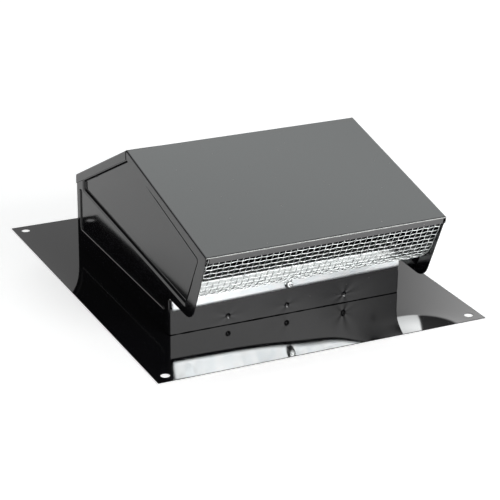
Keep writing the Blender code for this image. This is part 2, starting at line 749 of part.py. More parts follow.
def make_screw():
    """Hex washer-head sheet-metal screw with a pointed end, drawn with its head up."""
    washer_top = GAP + SCREW_WASHER_THICKNESS
    profile = [(0, -SCREW_LENGTH), (SCREW_SHANK, 2 * SCREW_SHANK - SCREW_LENGTH), (SCREW_SHANK, GAP),
               (SCREW_WASHER, GAP), (SCREW_WASHER, washer_top), (0, washer_top)]
    bm = bmesh.new()
    verts = [bm.verts.new((x, 0, z)) for x, z in profile]
    edges = [bm.edges.new(pair) for pair in zip(verts, verts[1:])]
    bmesh.ops.spin(bm, geom=verts + edges, axis=(0, 0, 1), cent=(0, 0, 0), steps=24, angle=2 * math.pi)
    bmesh.ops.remove_doubles(bm, verts=bm.verts, dist=GAP / 30)
    bmesh.ops.recalc_face_normals(bm, faces=bm.faces)
    seat = Matrix.Translation((0, FRONT_Y - strip_front(), FLOOR + SCREW_HEIGHT))
    place = seat @ Matrix.Rotation(math.radians(90), 4, 'X')
    screw = solid("strip_screw", bm, zinc("screw_zinc"), place)
    half_washer = SCREW_WASHER_THICKNESS / 2
    head = ring(Vector((0, 0)), SCREW_HEX / math.cos(math.pi / 6), steps=6)
    raised = place @ Matrix.Translation((0, 0, GAP + half_washer))
    combine(screw, cutter("hex_head", slab(head, SCREW_HEAD + half_washer), raised), 'UNION')
    smooth(screw)
    return screw


def make_rod():
    bm = round_bar(bmesh.new(), ROD_RADIUS, (-ROD_HALF, *ROD_CENTRE), (ROD_HALF, *ROD_CENTRE), 20)
    obj = solid("damper_rod", bm, zinc("rod_zinc"))
    smooth(obj)
    return obj


def make_lug(name, side):
    """Angle bracket under the hood that carries one end of the rod."""
    front = ROD_CENTRE.x - LUG_HALF_WIDTH
    back = ROD_CENTRE.x + LUG_HALF_WIDTH
    flange_top = SHEET + GAP
    flange_under = flange_top + LUG_SHEET
    front_top = Vector((front, under_hood(front, flange_top)))
    back_top = Vector((back, under_hood(back, flange_top)))
    start = Vector((-LUG_HALF_WIDTH, 0))
    round_foot = [ROD_CENTRE + Matrix.Rotation(math.pi * step / 8, 2) @ start for step in range(9)]
    ear = slab(round_foot + [back_top, front_top], LUG_SHEET)
    obj = solid(name, ear, zinc(name + "_zinc"), side_place(side, LUG_INNER_X))
    front_under = Vector((front, under_hood(front, flange_under)))
    back_under = Vector((back, under_hood(back, flange_under)))
    flange = slab([front_under, back_under, back_top, front_top], LUG_FLANGE)
    reach = side_place(side, LUG_INNER_X + LUG_SHEET - LUG_FLANGE)
    combine(obj, cutter(name + "_flange", flange, reach), 'UNION')
    drill_for_rod(obj, name, side, LUG_INNER_X)
    return obj


def make_clip(name, side):
    """Push-on washer that keeps the rod from sliding out of its lug."""
    bm = slab(ring(ROD_CENTRE, CLIP_RADIUS, 20), CLIP_SHEET)
    x = LUG_INNER_X + LUG_SHEET + GAP
    obj = solid(name, bm, zinc(name + "_zinc"), side_place(side, x))
    drill_for_rod(obj, name, side, x)
    smooth(obj)
    return obj


def drill_for_rod(obj, name, side, x):
    """Cuts the rod's running hole through the sheet at x."""
    near = (side * (x - BEND), *ROD_CENTRE)
    far = (side * (x + 2 * BEND), *ROD_CENTRE)
    drill(obj, name + "_bore", ROD_RADIUS + GAP, near, far, 20)


def seal_corners():
    """Lowest front and highest rear corner of the seal, in (y, z)."""
    rear = SILL_BACK - GALVANISED_SHEET - GAP
    low = SILL_HEIGHT + BEND
    return at(rear - SEAL_THICKNESS, low), at(rear, low + SEAL_HEIGHT)


def flap_lean():
    """Angle from the vertical at which the closed flap rests on the seal's top edge."""
    low, high = seal_corners()
    to_edge = Vector((low.x, high.y)) - ROD_CENTRE
    behind_rod = ROD_RADIUS + CURL_CLEARANCE + SHEET + GAP
    return math.atan2(-to_edge.x, -to_edge.y) + math.asin(behind_rod / to_edge.length)


def make_flap():
    """Painted damper flap, curled round the rod at its top and hemmed at its foot."""
    half = LUG_INNER_X - FLAP_SIDE_CLEARANCE
    inside = ROD_RADIUS + CURL_CLEARANCE
    lean = flap_lean()
    hem = 2 * SHEET + GAP
    drop = ROD_CENTRE.y - FLOOR - SILL_HEIGHT - 2 * GAP - inside * math.sin(lean)
    length = drop / math.cos(lean) - hem
    rear_side = Vector((inside, 0))
    curl = [Matrix.Rotation(math.radians(angle), 2) @ rear_side for angle in range(250, -1, -25)]
    foot = Vector((inside, -length))
    profile = curl + [foot, foot + Vector((-hem / 2, -hem / 2)), foot + Vector((-hem, 0)),
                      foot + Vector((-hem, FLAP_HEM))]
    obj = solid("damper_flap", extruded(profile, -half, half), black_paint("flap_black"))
    thicken(obj, SHEET)
    smooth(obj)
    obj.location = (0, *ROD_CENTRE)
    obj.rotation_euler = (-lean, 0, 0)
    return obj


def make_seal():
    """Foam strip on the sill's stop, which the flap closes on."""
    low, high = seal_corners()
    half = MOUTH_HALF - SEAL_END
    return block("flap_seal", (-half, *low), (half, *high), finish("seal_foam", (0.05, 0.05, 0.05), 0.95))


for old in list(bpy.data.objects):
    bpy.data.objects.remove(old, do_unlink=True)
PARTS = bpy.data.collections.new("rain_cap")
CUTTERS = bpy.data.collections.new("cutters")
for group in (PARTS, CUTTERS):
    bpy.context.scene.collection.children.link(group)

make_flashing()
make_side_wall("side_wall_left", -1)
make_side_wall("side_wall_right", 1)
make_front_wall()
make_rear_wall()
make_hood()
make_sill()
make_bird_screen()
make_screen_strip()
make_screw()
make_rod()
make_lug("rod_lug_left", -1)
make_lug("rod_lug_right", 1)
make_clip("rod_clip_left", -1)
make_clip("rod_clip_right", 1)
make_flap()
make_seal()
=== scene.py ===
import math
import bpy
import bmesh
from mathutils import Matrix, Vector


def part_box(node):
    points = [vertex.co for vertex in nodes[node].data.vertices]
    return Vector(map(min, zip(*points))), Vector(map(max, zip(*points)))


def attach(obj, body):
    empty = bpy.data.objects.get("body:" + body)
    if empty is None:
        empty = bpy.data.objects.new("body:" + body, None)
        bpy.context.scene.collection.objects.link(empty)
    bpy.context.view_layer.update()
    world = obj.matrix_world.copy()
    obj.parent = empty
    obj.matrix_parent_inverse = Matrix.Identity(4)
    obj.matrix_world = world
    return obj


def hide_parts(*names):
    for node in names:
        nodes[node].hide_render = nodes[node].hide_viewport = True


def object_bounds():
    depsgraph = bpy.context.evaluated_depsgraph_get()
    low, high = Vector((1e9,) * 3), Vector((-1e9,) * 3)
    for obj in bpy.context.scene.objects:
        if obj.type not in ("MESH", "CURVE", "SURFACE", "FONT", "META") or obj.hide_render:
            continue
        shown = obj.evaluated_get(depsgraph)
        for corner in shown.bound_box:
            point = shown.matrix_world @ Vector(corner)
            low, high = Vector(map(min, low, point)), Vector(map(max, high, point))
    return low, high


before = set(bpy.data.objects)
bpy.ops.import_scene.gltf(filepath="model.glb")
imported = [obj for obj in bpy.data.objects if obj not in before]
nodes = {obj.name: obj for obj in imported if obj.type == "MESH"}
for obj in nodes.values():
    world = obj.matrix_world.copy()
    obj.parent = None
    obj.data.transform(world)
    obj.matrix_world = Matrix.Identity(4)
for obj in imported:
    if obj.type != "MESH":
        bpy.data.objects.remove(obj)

mm = 0.001
cadLow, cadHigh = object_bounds()
print("frame loaded:", len(nodes), "nodes")


# small helpers for building node trees; wherever a value is given, it may be another node's output

def addNode(tree, kind, x, y, **settings):
    node = tree.nodes.new(kind)
    node.location = (x, y)
    for name, value in settings.items():
        setattr(node, name, value)
    return node


def link(tree, *pairs):
    for source, target in pairs:
        tree.links.new(source, target)


def feed(tree, socket, value):
    if isinstance(value, bpy.types.NodeSocket):
        tree.links.new(value, socket)
    elif value is not None:
        socket.default_value = value


def setInputs(node, **values):
    # spaces in socket names are written as underscores
    for name, value in values.items():
        node.inputs[name.replace("_", " ")].default_value = value
    return node


def mathNode(tree, operation, x, y, first, second=None, clamp=False):
    node = addNode(tree, "ShaderNodeMath", x, y, operation=operation, use_clamp=clamp)
    for socket, value in zip(node.inputs, (first, second)):
        feed(tree, socket, value)
    return node.outputs[0]


def vectorMath(tree, operation, x, y, first, second=None, scale=None):
    node = addNode(tree, "ShaderNodeVectorMath", x, y, operation=operation)
    for index, value in ((0, first), (1, second), (3, scale)):
        feed(tree, node.inputs[index], value)
    return node.outputs["Value" if operation == "DOT_PRODUCT" else "Vector"]


def partsOf(tree, x, y, vector):
    node = addNode(tree, "ShaderNodeSeparateXYZ", x, y)
    link(tree, (vector, node.inputs[0]))
    return node.outputs


def mixNode(tree, kind, x, y, factor, first, second):
    # the node has its own pair of sockets for each kind
    low, high, result = {"FLOAT": (2, 3, 0), "RGBA": (6, 7, 2)}[kind]
    node = addNode(tree, "ShaderNodeMix", x, y, data_type=kind)
    for name, value in (("Factor", factor), (low, first), (high, second)):
        feed(tree, node.inputs[name], value)
    return node.outputs[result]


def mapRange(tree, x, y, value, low, high, toLow, toHigh, kind="SMOOTHSTEP"):
    node = addNode(tree, "ShaderNodeMapRange", x, y, interpolation_type=kind)
    names = ("Value", "From Min", "From Max", "To Min", "To Max")
    for name, given in zip(names, (value, low, high, toLow, toHigh)):
        feed(tree, node.inputs[name], given)
    return node.outputs["Result"]


def texture(tree, kind, x, y, vector, scale, **values):
    node = setInputs(addNode(tree, "ShaderNodeTex" + kind, x, y), **values)
    feed(tree, node.inputs["Vector"], vector)
    feed(tree, node.inputs["Scale"], scale)
    return node.outputs


def bumpFrom(tree, x, y, height, normal=None, distance=1.0, strength=1.0):
    node = setInputs(addNode(tree, "ShaderNodeBump", x, y), Distance=distance, Strength=strength)
    feed(tree, node.inputs["Height"], height)
    feed(tree, node.inputs["Normal"], normal)
    return node.outputs["Normal"]


def socketKind(value):
    if isinstance(value, tuple):
        return "NodeSocketVector" if len(value) == 3 else "NodeSocketColor"
    if isinstance(value, bpy.types.Material):
        return "NodeSocketMaterial"
    return "NodeSocketInt" if isinstance(value, int) else "NodeSocketFloat"


def shaderGroup(name, inputs, outputs):
    # inputs are given with their first values, outputs with their kinds
    tree = bpy.data.node_groups.new(name, "ShaderNodeTree")
    for title, value in inputs.items():
        socket = tree.interface.new_socket(name=title, in_out="INPUT",
                                           socket_type=socketKind(value))
        socket.default_value = value
    for title, kind in outputs.items():
        tree.interface.new_socket(name=title, in_out="OUTPUT", socket_type="NodeSocket" + kind)
    start = addNode(tree, "NodeGroupInput", -900, 0)
    end = addNode(tree, "NodeGroupOutput", 700, 0)
    return tree, start.outputs, end.inputs


def placeGroup(tree, group, x, y, vector, **values):
    node = addNode(tree, "ShaderNodeGroup", x, y, node_tree=group)
    for name, value in {"Vector": vector, **values}.items():
        feed(tree, node.inputs[name.replace("_", " ")], value)
    return node.outputs


def emptyTree(owner):
    owner.use_nodes = True
    owner.node_tree.nodes.clear()
    return owner.node_tree


# small helpers for pieces

def addPiece(name, mesh):
    piece = bpy.data.objects.new(name, mesh)
    bpy.context.scene.collection.objects.link(piece)
    return piece


quadSigns = [(-1, -1), (1, -1), (1, 1), (-1, 1)]


def addQuad(name, corners, material):
    mesh = bpy.data.meshes.new(name)
    mesh.from_pydata(corners, [], [(0, 1, 2, 3)])
    mesh.materials.append(material)
    return addPiece(name, mesh)


def meshFrom(build):
    mesh = bpy.data.meshes.new("shape")
    shape = bmesh.new()
    build(shape)
    shape.to_mesh(mesh)
    shape.free()
    return mesh


def settle(piece):
    # the evaluated shape becomes a plain mesh, and the modifiers go
    graph = bpy.context.evaluated_depsgraph_get()
    piece.data = bpy.data.meshes.new_from_object(piece.evaluated_get(graph), depsgraph=graph)
    piece.modifiers.clear()
    piece.data.name = piece.name
    return piece


def finishPiece(piece, material, sharpAngle):
    # smooth, but for the edges that turn by more than the angle
    piece.data.shade_smooth()
    piece.data.set_sharp_from_angle(angle=sharpAngle)
    piece.data.materials.clear()
    piece.data.materials.append(material)


# camera, solved from the corners of the flashing, body and hood

cameraView = {
    "place": (-0.7850, -1.6673, 0.7916),
    "right": (0.9030, -0.4295, 0.0098),
    "up": (0.1568, 0.3508, 0.9232),
    "lens": 133.97,
    "clip": (0.05, 50),
}


def makeCamera(view):
    camera = addPiece("productCamera", bpy.data.cameras.new("productCamera"))
    right = Vector(view["right"]).normalized()
    up = Vector(view["up"])
    up = (up - right * up.dot(right)).normalized()
    turn = Matrix((right, up, right.cross(up))).transposed()
    camera.matrix_world = Matrix.Translation(view["place"]) @ turn.to_4x4()
    camera.data.lens = view["lens"]
    camera.data.clip_start, camera.data.clip_end = view["clip"]
    bpy.context.scene.camera = camera


makeCamera(cameraView)
print("camera set")


# studio: white table, white room, and light panels with soft edges

studio = {
    "aim": (0, -0.04, 0.05),
    "tableSize": 14,
    "tableDrop": 0.2 * mm,              # below the object
    "tableColour": (0.8, 0.8, 0.8, 1),
    "tableGlow": 0.52,
    "tableGlowMirrored": 0.34,
    "roomGlow": 0.7,
    "roomFill": 0.45,
    "darkSide": (-0.37, 0.83, 0.39),
    "darkSideEdge": (34, 20),           # degrees from its middle: where it starts, where it is full
    "darkSideGlow": 0.06,
    "cameraGlow": 1.25,
}
# azimuth is turned from +Y towards +X; soft is the share of each half that fades
lightPanels = [
    {"name": "frontPanel", "azimuth": 162, "height": 23, "distance": 2.2, "size": (1.5, 1.1),
     "soft": (0.75, 0.5), "glow": 12.0, "tint": (1, 1, 1, 1)},
    {"name": "topPanel", "azimuth": 34, "height": 50, "distance": 2.4, "size": (2.6, 2.0),
     "soft": (0.5, 0.75), "glow": 1.75, "tint": (0.95, 1, 0.995, 1)},
    {"name": "lowPanel", "azimuth": 48, "height": 23, "distance": 2.6, "size": (1.5, 0.9),
     "soft": (0.8, 0.7), "glow": 2.3, "tint": (1, 1, 1, 1)},
    {"name": "floorPanel", "middle": (0.25, -0.75, 0.003), "size": (1.5, 1.04),
     "soft": (0.6, 0.25), "glow": 1.8, "tint": (1, 1, 1, 1)},
    # two low cards behind the object that only mirrors show: they lie in the flashing's bent front
    {"name": "whiteCard", "aim": (0.11, -0.2, 0), "azimuth": 23, "height": 10.5, "distance": 2.4,
     "size": (0.68, 0.75), "soft": (0.06, 0.1), "glow": 3.5, "tint": (0.98, 1, 1, 1), "cover": 1.0},
    {"name": "blackCard", "aim": (0.11, -0.2, 0), "azimuth": 39, "height": 10.5, "distance": 2.4,
     "size": (0.68, 0.75), "soft": (0.06, 0.2), "glow": 0.1, "tint": (1, 1, 1, 1), "cover": 1.0},
]


def panelGlow(panel):
    # emission that fades towards the edges; cover is how much of the room it hides
    material = bpy.data.materials.new(panel["name"] + "Glow")
    tree = emptyTree(material)
    coords = addNode(tree, "ShaderNodeUVMap", -1100, 0, uv_map="panel")
    sides = partsOf(tree, -920, 0, coords.outputs["UV"])
    fades = []
    for row, (axis, soft) in enumerate(zip("XY", panel["soft"])):
        reach = mathNode(tree, "ABSOLUTE", -740, -200 * row, sides[axis])
        fades.append(mapRange(tree, -560, -200 * row, reach, 1 - soft, 1.0, 1.0, 0.0))
    share = mathNode(tree, "MULTIPLY", -360, -100, *fades)
    glow = mathNode(tree, "MULTIPLY", -180, -250, share, panel["glow"])
    covered = mathNode(tree, "MULTIPLY", -360, -400, share, panel.get("cover", 0.0))
    shown = mathNode(tree, "SUBTRACT", -180, -400, 1.0, covered)
    emission = setInputs(addNode(tree, "ShaderNodeEmission", 40, 0), Color=panel["tint"])
    clear = addNode(tree, "ShaderNodeBsdfTransparent", 40, -160)
    both = addNode(tree, "ShaderNodeAddShader", 220, 0)
    output = addNode(tree, "ShaderNodeOutputMaterial", 400, 0)
    link(tree, (glow, emission.inputs["Strength"]), (shown, clear.inputs["Color"]),
         (emission.outputs[0], both.inputs[0]), (clear.outputs[0], both.inputs[1]),
         (both.outputs[0], output.inputs["Surface"]))
    return material


def makeLightPanel(panel):
    # a panel with a middle lies on the table
    across, upward = Vector((1, 0, 0)), Vector((0, 1, 0))
    middle = panel.get("middle")
    if middle is None:
        azimuth, height = math.radians(panel["azimuth"]), math.radians(panel["height"])
        level = math.cos(height)
        towards = Vector((math.sin(azimuth) * level, math.cos(azimuth) * level, math.sin(height)))
        across = towards.cross((0, 0, 1)).normalized()
        upward = across.cross(towards)
        middle = Vector(panel.get("aim", studio["aim"])) + towards * panel["distance"]
    middle = Vector(middle)
    across, upward = across * panel["size"][0] / 2, upward * panel["size"][1] / 2
    light = addQuad(panel["name"], [middle + across * u + upward * v for u, v in quadSigns],
                    panelGlow(panel))
    layer = light.data.uv_layers.new(name="panel")
    for loop, uv in zip(layer.data, quadSigns):
        loop.uv = uv
    light.visible_camera = False
    light.visible_shadow = False
    light.visible_diffuse = "cover" not in panel


def makeTable():
    material = bpy.data.materials.new("whiteTable")
    tree = emptyTree(material)
    path = addNode(tree, "ShaderNodeLightPath", -1000, -300).outputs
    seen = mathNode(tree, "MAXIMUM", -800, -100, path["Is Camera Ray"], path["Is Transmission Ray"])
    plain = mathNode(tree, "MULTIPLY", -600, -100, seen, studio["tableGlow"])
    mirrored = mathNode(tree, "MULTIPLY", -600, -300, path["Is Glossy Ray"],
                        studio["tableGlowMirrored"])
    strength = mathNode(tree, "MAXIMUM", -400, 0, plain, mirrored)
    diffuse = setInputs(addNode(tree, "ShaderNodeBsdfDiffuse", -200, 200),
                        Color=studio["tableColour"])
    glow = addNode(tree, "ShaderNodeEmission", -200, 0)
    both = addNode(tree, "ShaderNodeAddShader", 0, 100)
    output = addNode(tree, "ShaderNodeOutputMaterial", 200, 100)
    link(tree, (strength, glow.inputs["Strength"]), (diffuse.outputs[0], both.inputs[0]),
         (glow.outputs[0], both.inputs[1]), (both.outputs[0], output.inputs["Surface"]))
    half, height = studio["tableSize"] / 2, cadLow.z - studio["tableDrop"]
    table = addQuad("table", [(half * u, half * v, height) for u, v in quadSigns], material)


def makeRoom():
    world = bpy.data.worlds.new("whiteRoom")
    bpy.context.scene.world = world
    tree = emptyTree(world)
    direction = addNode(tree, "ShaderNodeTexCoord", -1400, -300)
    nearness = vectorMath(tree, "DOT_PRODUCT", -1200, -300, direction.outputs["Generated"],
                          Vector(studio["darkSide"]).normalized())
    starts, full = (math.cos(math.radians(angle)) for angle in studio["darkSideEdge"])
    side = mapRange(tree, -1000, -300, nearness, starts, full, studio["roomGlow"],
                    studio["darkSideGlow"])
    # mirrors see the dark side, other rays don't
    path = addNode(tree, "ShaderNodeLightPath", -1000, 300).outputs
    mirrored = mixNode(tree, "FLOAT", -700, -100, path["Is Glossy Ray"], studio["roomGlow"], side)
    # what shows the background gets its glow, and what it lights gets the fill
    seen = mathNode(tree, "MAXIMUM", -820, 100, path["Is Camera Ray"], path["Is Glossy Ray"])
    seen = mathNode(tree, "MAXIMUM", -640, 100, seen, path["Is Transmission Ray"])
    strength = mixNode(tree, "FLOAT", -400, 0, seen, studio["roomFill"], mirrored)
    # the camera sees plain white
    plain = mathNode(tree, "MULTIPLY", -480, 150, path["Is Camera Ray"], studio["cameraGlow"])
    white = mathNode(tree, "MAXIMUM", -300, 150, strength, plain)
    background = addNode(tree, "ShaderNodeBackground", -200, 0)
    output = addNode(tree, "ShaderNodeOutputWorld", 0, 0)
    link(tree, (white, background.inputs["Strength"]),
         (background.outputs[0], output.inputs["Surface"]))


for panel in lightPanels:
    makeLightPanel(panel)
makeTable()
makeRoom()
bpy.context.scene.view_settings.view_transform = "Standard"
print("studio lit")


# shader groups that several finishes share

def makeSheetRipple():
    # slow waves of thin sheet under a fine paint texture
    tree, start, end = shaderGroup("sheetRipple", {
        "Vector": (0, 0, 0), "Wave Size": 0.12, "Wave Depth": 0.0001,
        "Peel Size": 0.0012, "Peel Depth": 0.0000004}, {"Normal": "Vector"})
    normal = None
    for row, (layer, detail) in enumerate((("Wave", 0.0), ("Peel", 1.0))):
        y = 200 - 400 * row
        scale = mathNode(tree, "DIVIDE", -600, y, 1.0, start[layer + " Size"])
        noise = texture(tree, "Noise", -400, y, start["Vector"], scale, Detail=detail)
        height = mathNode(tree, "MULTIPLY", -200, y, noise["Fac"], start[layer + " Depth"])
        normal = bumpFrom(tree, 0, y, height, normal)
    link(tree, (normal, end["Normal"]))
    return tree


def makeSettledDust():
    # sparse pale specks and a faint drifting film over the paint
    tree, start, end = shaderGroup("settledDust", {
        "Vector": (0, 0, 0), "Paint": (0.003, 0.003, 0.004, 1), "Dust": (0.32, 0.31, 0.29, 1),
        "Speck Spacing": 0.012, "Speck Share": 0.06, "Speck Strength": 0.35, "Film": 0.01,
        "Drift Scale": 22.0, "Gloss": 0.06, "Haze": 0.05}, {"Color": "Color", "Roughness": "Float"})
    scale = mathNode(tree, "DIVIDE", -700, 200, 1.0, start["Speck Spacing"])
    cells = texture(tree, "Voronoi", -500, 200, start["Vector"], scale)
    speck = mathNode(tree, "LESS_THAN", -300, 250, cells["Distance"], start["Speck Share"])
    speck = mathNode(tree, "MULTIPLY", -120, 250, speck, start["Speck Strength"])
    drift = texture(tree, "Noise", -500, -100, start["Vector"], start["Drift Scale"], Detail=4.0)
    film = mathNode(tree, "MULTIPLY", -300, -50, drift["Fac"], start["Film"])
    amount = mathNode(tree, "ADD", 60, 100, speck, film, clamp=True)
    haze = mathNode(tree, "MULTIPLY", 60, -150, drift["Fac"], start["Haze"])
    rough = mathNode(tree, "ADD", 260, -100, start["Gloss"], haze)
    rough = mathNode(tree, "ADD", 440, -100, rough, speck, clamp=True)
    colour = mixNode(tree, "RGBA", 260, 150, amount, start["Paint"], start["Dust"])
    link(tree, (colour, end["Color"]), (rough, end["Roughness"]))
    return tree


def makeZincSpangle():
    # crystals of hot-dip zinc, each with its own tone and tilt
    tree, start, end = shaderGroup("zincSpangle", {
        "Vector": (0, 0, 0), "Crystal Size": 0.007, "Light Zinc": (0.86, 0.88, 0.87, 1),
        "Dark Zinc": (0.7, 0.73, 0.73, 1), "Gloss": 0.3, "Gloss Spread": 0.14, "Relief": 0.00002,
        "Ragged Scale": 180.0, "Ragged Edge": 0.004},
        {"Color": "Color", "Roughness": "Float", "Normal": "Vector"})
    ragged = texture(tree, "Noise", -720, 300, start["Vector"], start["Ragged Scale"], Detail=2.0)
    offset = vectorMath(tree, "SCALE", -540, 300, ragged["Color"], scale=start["Ragged Edge"])
    place = vectorMath(tree, "ADD", -360, 200, start["Vector"], offset)
    scale = mathNode(tree, "DIVIDE", -540, 60, 1.0, start["Crystal Size"])
    cells = texture(tree, "Voronoi", -180, 150, place, scale)
    tone = addNode(tree, "ShaderNodeSeparateColor", 0, 200)
    colour = mixNode(tree, "RGBA", 220, 200, tone.outputs[0], start["Light Zinc"],
                     start["Dark Zinc"])
    spread = mathNode(tree, "MULTIPLY", 220, 0, tone.outputs[1], start["Gloss Spread"])
    rough = mathNode(tree, "ADD", 400, 0, spread, start["Gloss"])
    height = mathNode(tree, "MULTIPLY", 220, -200, tone.outputs[2], start["Relief"])
    link(tree, (cells["Color"], tone.inputs[0]), (colour, end["Color"]), (rough, end["Roughness"]),
         (bumpFrom(tree, 400, -200, height), end["Normal"]))
    return tree


def makeSoftHill():
    # a low hill or hollow in a sheet, with creases that run out like a star
    tree, start, end = shaderGroup("softHill", {
        "Vector": (0, 0, 0), "Middle": (0, 0, 0), "Reach": (0.02, 0.02, 0.02), "Height": 0.0005,
        "Arms": 5.0, "Star": 0.0, "Below": 0.0}, {"Height": "Float"})
    away = vectorMath(tree, "SUBTRACT", -700, 100, start["Vector"], start["Middle"])
    share = vectorMath(tree, "DIVIDE", -520, 100, away, start["Reach"])
    distance = vectorMath(tree, "DOT_PRODUCT", -340, 100, share, share)
    half = mathNode(tree, "MULTIPLY", -160, 100, distance, -0.5)
    falling = mathNode(tree, "EXPONENT", 20, 100, half)
    height = mathNode(tree, "MULTIPLY", 200, 100, falling, start["Height"])
    # one of Y and Z is level with the sheet's face, so their sum is the second direction
    parts = partsOf(tree, -340, -150, share)
    second = mathNode(tree, "ADD", -160, -150, parts["Y"], parts["Z"])
    turn = mathNode(tree, "ARCTAN2", 0, -150, second, parts["X"])
    angle = mathNode(tree, "MULTIPLY", 160, -150, turn, start["Arms"])
    wave = mathNode(tree, "COSINE", 320, -150, angle)
    crease = mathNode(tree, "MULTIPLY", 400, -250, wave, start["Star"])
    star = mathNode(tree, "ADD", 480, -100, crease, 1.0)
    shaped = mathNode(tree, "MULTIPLY", 560, 0, height, star)
    link(tree, (mathNode(tree, "ADD", 620, 0, shaped, start["Below"]), end["Height"]))
    return tree


def makePaintedLightBox():
    # mask of a box with uneven sides, for painted shade where two sheets don't touch, and for a
    # painted highlight along a fold
    tree, start, end = shaderGroup("paintedLightBox", {
        "Vector": (0, 0, 0), "Low": (0, 0, 0), "High": (0, 0, 0), "Unevenness": 0.0006,
        "Wander Scale": 120.0}, {"Mask": "Float"})
    noise = texture(tree, "Noise", -700, -200, start["Vector"], start["Wander Scale"], Detail=3.0)
    centred = vectorMath(tree, "SUBTRACT", -520, -200, noise["Color"], (0.5, 0.5, 0.5))
    wander = vectorMath(tree, "SCALE", -340, -200, centred, scale=start["Unevenness"])
    place = vectorMath(tree, "ADD", -340, 0, start["Vector"], wander)
    above = vectorMath(tree, "SUBTRACT", -160, 100, place, start["Low"])
    under = vectorMath(tree, "SUBTRACT", -160, -100, start["High"], place)
    parts = partsOf(tree, 200, 0, vectorMath(tree, "MINIMUM", 20, 0, above, under))
    inner = mathNode(tree, "MINIMUM", 380, 60, parts["X"], parts["Y"])
    inner = mathNode(tree, "MINIMUM", 480, 0, inner, parts["Z"])
    link(tree, (mathNode(tree, "GREATER_THAN", 580, 0, inner, 0.0), end["Mask"]))
    return tree


sheetRipple = makeSheetRipple()
softHill = makeSoftHill()
paintedLightBox = makePaintedLightBox()
settledDust = makeSettledDust()
zincSpangle = makeZincSpangle()


# finishes

paintedHighlight = (0.35, 0.36, 0.35, 1)      # painted highlight along the hood's front fold, in place of the bend's reflection of the front light
paintedShadeBlack = (0.001, 0.001, 0.001, 1)     # painted shade: as a metal, it gives back neither light nor a reflection
# the flap's primer, darkened past black paint and with little reflection: partly painted shade of
# the hood's hollow
flapPrimerAndShade = {
    "shift": (6.1, 2.7, 1.9),
    "wave": 0.1,
    "depth": 0.0001,
    "grain": 400.0,
    "dark": (0.0015, 0.0015, 0.0018, 1),
    "light": (0.005, 0.005, 0.0055, 1),
    "roughness": (0.75, 0.9),
    "specular": 0.15,
}
foamLook = {
    "pores": 900.0,
    "dark": (0.008, 0.008, 0.009, 1),
    "light": (0.05, 0.05, 0.052, 1),
    "depth": 0.0004,
    "relief": 0.8,
    "roughness": 0.9,
}


def newFinish(name, shift=(0, 0, 0)):
    # gives Object coordinates as they are, for places, and shifted, for patterns
    material = bpy.data.materials.new(name)
    material.use_nodes = True
    tree = material.node_tree
    coords = addNode(tree, "ShaderNodeTexCoord", -1300, 0).outputs["Object"]
    mapping = setInputs(addNode(tree, "ShaderNodeMapping", -1100, 0), Location=shift)
    link(tree, (coords, mapping.inputs["Vector"]))
    return material, tree, tree.nodes["Principled BSDF"].inputs, coords, mapping.outputs["Vector"]


def boxMask(tree, coords, boxes, y):
    mask = None
    for row, box in enumerate(boxes):
        inside = placeGroup(tree, paintedLightBox, -900, y + 200 * row, coords, **box)["Mask"]
        mask = inside if mask is None else mathNode(tree, "MAXIMUM", -700, y, mask, inside)
    return mask


def glossBlack(name, shift, wave=0.12, depth=0.00012, film=0.008, speckShare=0.05, gloss=0.06,
               hills=(), shadeBoxes=(), foldHighlights=()):
    material, tree, shader, coords, pattern = newFinish(name, shift)
    dust = placeGroup(tree, settledDust, -500, 200, pattern, Film=film, Speck_Share=speckShare,
                      Gloss=gloss)
    ripple = placeGroup(tree, sheetRipple, -500, -200, pattern, Wave_Size=wave, Wave_Depth=depth)
    colour, rough, normal = dust["Color"], dust["Roughness"], ripple["Normal"]
    height = None
    for row, hill in enumerate(hills):
        height = placeGroup(tree, softHill, -900 + 160 * row, -500, coords, Below=height,
                            **hill)["Height"]
    if height is not None:
        normal = bumpFrom(tree, -200, -300, height, normal)
    # painted highlight: a pale grey line over the fold, where the bend would mirror the front light
    highlightMask = boxMask(tree, coords, foldHighlights, 1100)
    if highlightMask is not None:
        colour = mixNode(tree, "RGBA", -400, 500, highlightMask, colour, paintedHighlight)
    # painted shade: inside these boxes the paint turns black, rough and metallic, so it neither
    # lights nor mirrors
    shadeMask = boxMask(tree, coords, shadeBoxes, 500)
    if shadeMask is not None:
        colour = mixNode(tree, "RGBA", -200, 300, shadeMask, colour, paintedShadeBlack)
        rough = mathNode(tree, "MAXIMUM", -200, 100, rough, shadeMask)
        link(tree, (shadeMask, shader["Metallic"]))
    link(tree, (colour, shader["Base Color"]), (rough, shader["Roughness"]),
         (normal, shader["Normal"]))
    shader["IOR"].default_value = 1.5
    return material


def mattBlack(name):
    # black primer, darker and duller than the hood's paint: partly painted shade, so the flap stays
    # as dark as the hollow behind the wire cloth
    look = flapPrimerAndShade
    material, tree, shader, _, pattern = newFinish(name, look["shift"])
    ripple = placeGroup(tree, sheetRipple, -500, -200, pattern, Wave_Size=look["wave"],
                        Wave_Depth=look["depth"])
    grain = texture(tree, "Noise", -700, 200, pattern, look["grain"], Detail=3.0)["Fac"]
    colour = mixNode(tree, "RGBA", -300, 200, grain, look["dark"], look["light"])
    rough = mapRange(tree, -300, 0, grain, 0.0, 1.0, *look["roughness"], kind="LINEAR")
    link(tree, (colour, shader["Base Color"]), (rough, shader["Roughness"]),
         (ripple["Normal"], shader["Normal"]))
    shader["Specular IOR Level"].default_value = look["specular"]
    return material


